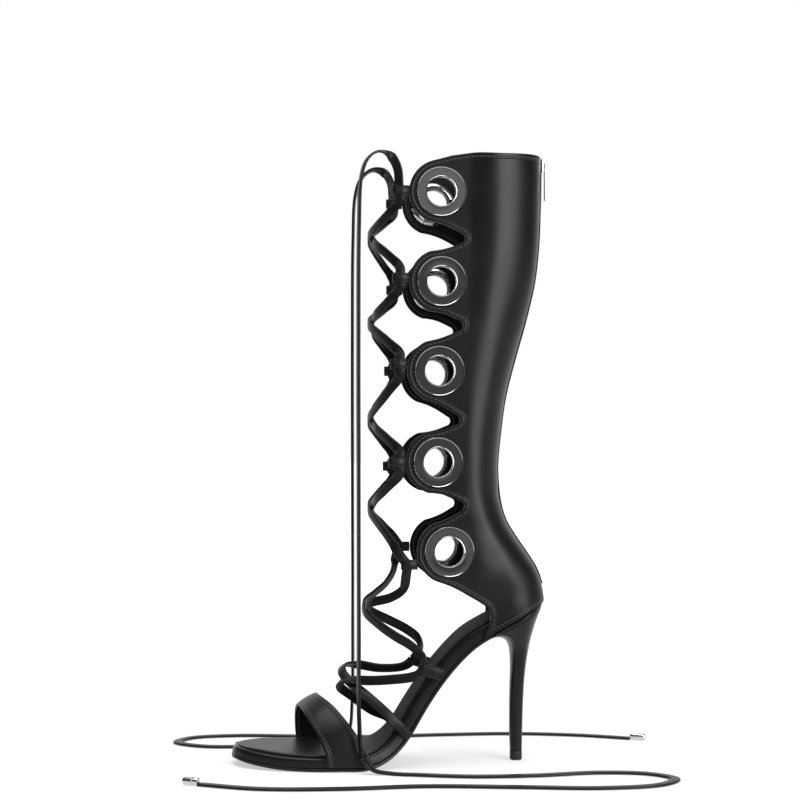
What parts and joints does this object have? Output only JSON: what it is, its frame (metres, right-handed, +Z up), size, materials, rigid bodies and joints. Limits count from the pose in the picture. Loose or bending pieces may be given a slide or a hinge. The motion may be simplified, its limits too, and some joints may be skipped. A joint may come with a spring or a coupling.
{
  "type": "gladiator sandal",
  "caption": "Knee-high open-toed sandal for the left foot, with a slim high heel, scalloped shaft with rings, crossed laces, long ties and a back zip.",
  "frame": {"origin": "middle of the heel's foot, on the floor", "axes": "+Z up, toe towards -X, outer side of the foot towards -Y"},
  "size_m": [0.3657, 0.2298, 0.4401],
  "materials": {
    "upper_leather": "smooth black leather, half gloss",
    "lace_leather": "smooth black leather, half gloss",
    "insole_leather": "smooth dark leather, slightly duller than the upper",
    "sole_skin": "smooth dark grey, half gloss",
    "heel_cover": "smooth black cover, glossy",
    "top_piece_rubber": "matt black",
    "ring_chrome": "polished dark chrome",
    "nickel": "polished nickel",
    "zip_tape": "black woven tape with fine teeth"
  },
  "bodies": {
    "shoe": {"outsole": "sole_skin", "sole_board": "upper_leather", "insole": "insole_leather", "heel": "heel_cover", "top_piece": "top_piece_rubber", "shaft": "upper_leather", "grommet_lateral_1": "ring_chrome", "grommet_lateral_2": "ring_chrome", "grommet_lateral_3": "ring_chrome", "grommet_lateral_4": "ring_chrome", "grommet_lateral_5": "ring_chrome", "grommet_medial_1": "ring_chrome", "grommet_medial_2": "ring_chrome", "grommet_medial_3": "ring_chrome", "grommet_medial_4": "ring_chrome", "grommet_medial_5": "ring_chrome", "keeper_lateral_1": "upper_leather", "keeper_lateral_2": "upper_leather", "keeper_lateral_3": "upper_leather", "keeper_lateral_4": "upper_leather", "keeper_lateral_5": "upper_leather", "keeper_medial_1": "upper_leather", "keeper_medial_2": "upper_leather", "keeper_medial_3": "upper_leather", "keeper_medial_4": "upper_leather", "keeper_medial_5": "upper_leather", "arch_loop_lateral": "upper_leather", "arch_loop_medial": "upper_leather", "toe_strap": "upper_leather", "lace_cross_1": "lace_leather", "lace_cross_2": "lace_leather", "lace_cross_3": "lace_leather", "lace_cross_4": "lace_leather", "lace_cross_5": "lace_leather", "lace_cross_6": "lace_leather", "tie_lateral": "lace_leather", "aglet_lateral": "nickel", "tie_medial": "lace_leather", "aglet_medial": "nickel", "zip_chain": "zip_tape", "zip_slider": "nickel"},
    "pull": {"zip_pull": "nickel"}
  },
  "joints": [
    {"name": "zip_pull_swing", "type": "hinge", "parent": "shoe", "child": "pull", "pos_m": [0.0222, 0, 0.436], "axis": [0, -1, 0], "range_deg": [-2, 150]}
  ]
}
